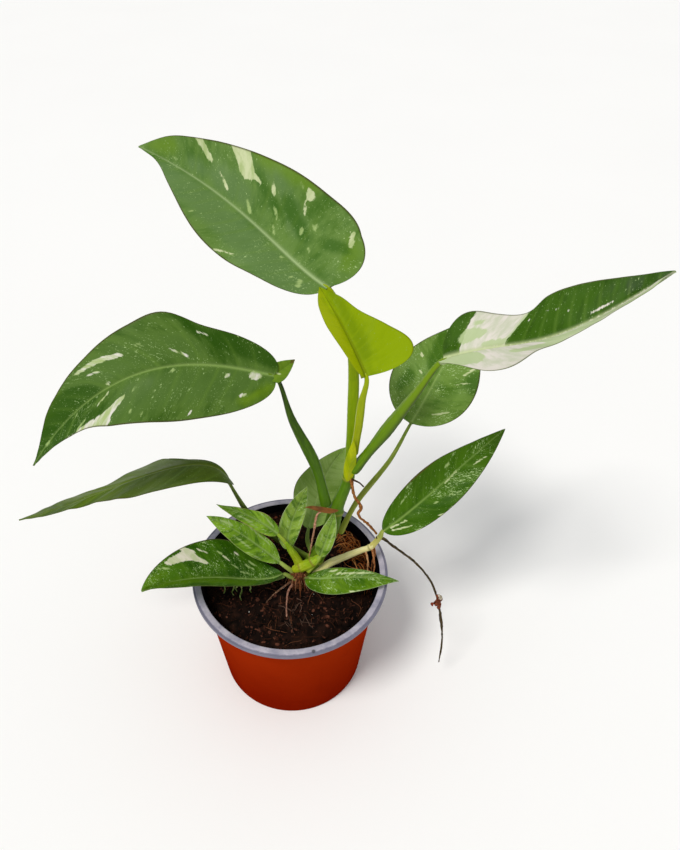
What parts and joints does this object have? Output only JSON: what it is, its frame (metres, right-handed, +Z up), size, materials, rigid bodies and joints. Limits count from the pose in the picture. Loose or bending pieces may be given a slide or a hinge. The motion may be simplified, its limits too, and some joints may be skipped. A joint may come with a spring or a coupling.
{
  "type": "potted aroid house plant",
  "caption": "Variegated climbing house plant with heart-shaped and lance-shaped leaves on long stalks, rooted in soil in a round tapered nursery pot.",
  "frame": {"origin": "centre of the pot's flat underside", "axes": "+Z up out of the soil; +X towards the long pale leaf on the right; -Y towards the viewer"},
  "size_m": [0.3312, 0.1374, 0.3255],
  "materials": {
    "pot_plastic": "satin",
    "soil": "matte",
    "stem": "satin",
    "runner": "satin",
    "petiole": "satin",
    "leaf": "satin",
    "dark_leaf": "satin",
    "new_leaf": "satin",
    "young_leaf": "satin",
    "pale_leaf": "satin",
    "sheath": "satin",
    "dry_sheath": "matte",
    "brown_root": "matte",
    "dark_root": "matte",
    "pale_root": "matte"
  },
  "bodies": {
    "root": {"pot": "pot_plastic", "soil": "soil", "main_stem": "stem", "runner_stem": "runner", "top_leaf_petiole": "petiole", "top_leaf_blade": "leaf", "new_leaf_petiole": "petiole", "new_leaf_blade": "new_leaf", "right_leaf_petiole": "petiole", "right_leaf_blade": "pale_leaf", "round_leaf_petiole": "petiole", "round_leaf_blade": "leaf", "low_right_leaf_petiole": "petiole", "low_right_leaf_blade": "dark_leaf", "left_leaf_petiole": "petiole", "left_leaf_blade": "leaf", "low_left_leaf_petiole": "petiole", "low_left_leaf_blade": "dark_leaf", "back_leaf_petiole": "petiole", "back_leaf_blade": "leaf", "front_left_leaf_petiole": "petiole", "front_left_leaf_blade": "dark_leaf", "front_right_leaf_petiole": "petiole", "front_right_leaf_blade": "young_leaf", "young_leaf_1_petiole": "petiole", "young_leaf_1_blade": "young_leaf", "young_leaf_2_petiole": "petiole", "young_leaf_2_blade": "young_leaf", "young_leaf_3_petiole": "petiole", "young_leaf_3_blade": "young_leaf", "young_leaf_4_petiole": "petiole", "young_leaf_4_blade": "young_leaf", "new_leaf_sheath": "sheath", "dry_sheath": "dry_sheath", "brown_aerial_root": "brown_root", "root_stub": "dark_root", "thin_aerial_root": "pale_root", "long_aerial_root": "dark_root", "runner_root_1": "brown_root", "runner_root_2": "pale_root", "runner_root_3": "brown_root", "soil_root_1": "pale_root", "soil_root_2": "pale_root"}
  },
  "joints": []
}
